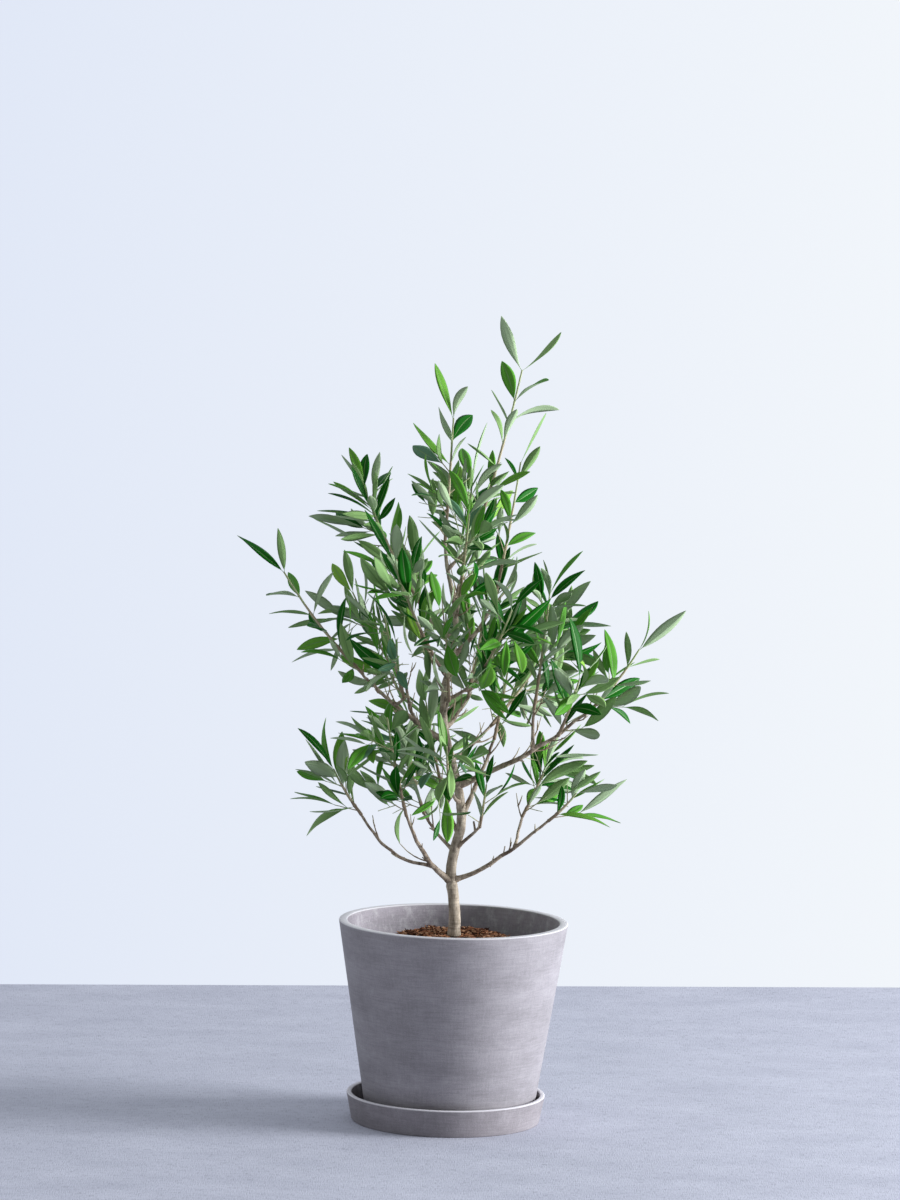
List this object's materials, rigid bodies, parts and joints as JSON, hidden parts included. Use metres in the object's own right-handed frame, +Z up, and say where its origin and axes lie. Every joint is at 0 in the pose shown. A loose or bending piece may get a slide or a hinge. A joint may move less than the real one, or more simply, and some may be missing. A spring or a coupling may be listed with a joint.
{
  "type": "potted olive tree",
  "caption": "Young olive tree with a slim winding trunk and an open airy crown, in a round tapered pot with a matching saucer, the soil mulched with coir chips.",
  "frame": {"origin": "centre of the saucer's flat underside, on the surface that the pot stands on", "axes": "+Z up the tree, +X to the right and +Y to the back as seen from the tree's front"},
  "size_m": [0.5816, 0.3829, 1.0561],
  "materials": {
    "pot": "matt warm-grey stone-look composite, finely brushed, with pale worn edges",
    "soil": "dark crumbly potting soil",
    "mulch": "rough brown coir chips",
    "bark": "smooth grey-brown bark with ring marks, greener on the young limbs",
    "leaves": "leathery satin leaves, dark green above and silvery grey-green below"
  },
  "bodies": {
    "root": {"saucer": "pot", "pot": "pot", "soil": "soil", "mulch": "mulch", "trunk": "bark", "bough_left_low": "bark", "bough_left_spreading": "bark", "bough_left_short": "bark", "bough_right_low": "bark", "bough_right_low_riser": "bark", "bough_right_stub": "bark", "bough_front_low": "bark", "bough_back_low": "bark", "bough_leader_right": "bark", "bough_left": "bark", "bough_left_inner": "bark", "bough_left_back": "bark", "bough_right": "bark", "bough_right_riser": "bark", "bough_right_front": "bark", "bough_back_right": "bark", "bough_front": "bark", "bough_front_right": "bark", "bough_front_left": "bark", "bough_back": "bark", "bough_back_left": "bark", "bough_upper_left": "bark", "bough_upper_right": "bark", "bough_upper_front": "bark", "bough_upper_back": "bark", "bough_top_right": "bark", "foliage_left_low": "leaves", "foliage_left_spreading": "leaves", "foliage_left_short": "leaves", "foliage_right_low": "leaves", "foliage_right_low_riser": "leaves", "foliage_right_stub": "leaves", "foliage_front_low": "leaves", "foliage_back_low": "leaves", "foliage_leader_right": "leaves", "foliage_left": "leaves", "foliage_left_inner": "leaves", "foliage_left_back": "leaves", "foliage_right": "leaves", "foliage_right_riser": "leaves", "foliage_right_front": "leaves", "foliage_back_right": "leaves", "foliage_front": "leaves", "foliage_front_right": "leaves", "foliage_front_left": "leaves", "foliage_back": "leaves", "foliage_back_left": "leaves", "foliage_upper_left": "leaves", "foliage_upper_right": "leaves", "foliage_upper_front": "leaves", "foliage_upper_back": "leaves", "foliage_top_right": "leaves", "foliage_top_left": "leaves"}
  },
  "joints": []
}
